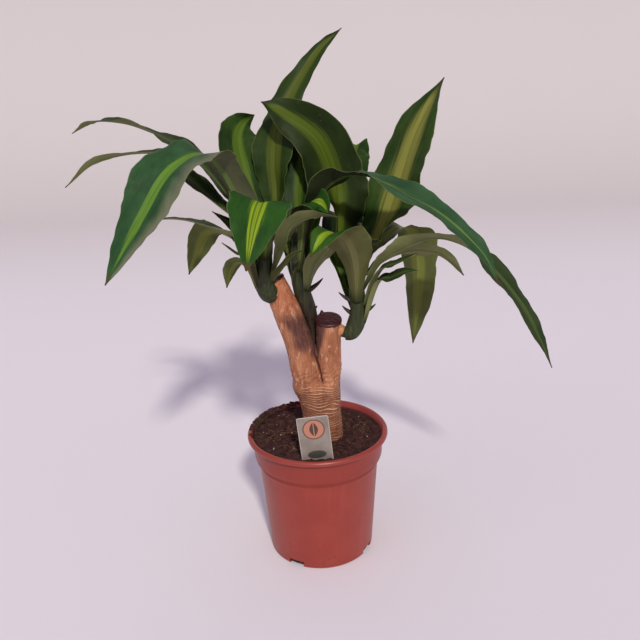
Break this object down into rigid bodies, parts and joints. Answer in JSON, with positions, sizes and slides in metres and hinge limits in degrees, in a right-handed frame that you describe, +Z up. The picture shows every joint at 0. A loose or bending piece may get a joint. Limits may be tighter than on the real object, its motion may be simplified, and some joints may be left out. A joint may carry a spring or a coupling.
{
  "type": "potted corn plant",
  "caption": "Young corn plant: a forked woody cane with sawn waxed arms, leafy shoots with striped strap leaves, and a round plastic nursery pot filled with soil.",
  "frame": {"origin": "middle of the pot's underside, on the ground", "axes": "+Z up, -Y towards the front of the plant, +X towards the shorter arm of the cane"},
  "size_m": [0.5221, 0.26, 0.6125],
  "materials": {
    "pot_plastic": "terracotta red, semi-matte, moulded",
    "soil": "dark crumbly potting soil",
    "bark": "copper-tan bark, ringed with leaf scars below the fork and peeling above it",
    "wax": "dark maroon sealing wax, satin",
    "label_plastic": "grey-beige card with a plain leaf motif",
    "shoot_stem": "dark green young stem, satin",
    "leaf": "dark green leaf with a yellow-green stripe, satin and waxy"
  },
  "bodies": {
    "root": {"leaf_left_back": "leaf", "leaf_left_big_arch": "leaf", "leaf_left_cross": "leaf", "leaf_left_dried": "leaf", "leaf_left_front": "leaf", "leaf_left_hanging": "leaf", "leaf_left_low_cross": "leaf", "leaf_left_low_strap": "leaf", "leaf_left_lower_reach": "leaf", "leaf_left_small_dark": "leaf", "leaf_left_small_hanging": "leaf", "leaf_left_tall": "leaf", "leaf_left_tall_back": "leaf", "leaf_left_upper_reach": "leaf", "leaf_middle_back": "leaf", "leaf_middle_back_left": "leaf", "leaf_middle_back_right": "leaf", "leaf_middle_crossing": "leaf", "leaf_middle_low_front": "leaf", "leaf_middle_short_front": "leaf", "leaf_middle_upright": "leaf", "leaf_right_back": "leaf", "leaf_right_back_right": "leaf", "leaf_right_broad_hanging": "leaf", "leaf_right_dark_arch": "leaf", "leaf_right_front_curl": "leaf", "leaf_right_long_arch": "leaf", "leaf_right_short_arch": "leaf", "leaf_right_small_lower": "leaf", "leaf_right_small_upper": "leaf", "leaf_right_upright": "leaf", "leaf_right_upright_back": "leaf", "plant_label": "label_plastic", "pot": "pot_plastic", "soil": "soil", "stem_left": "shoot_stem", "stem_middle": "shoot_stem", "stem_right": "shoot_stem", "trunk": "bark", "wax_cap_left": "wax", "wax_cap_right": "wax"}
  },
  "joints": []
}
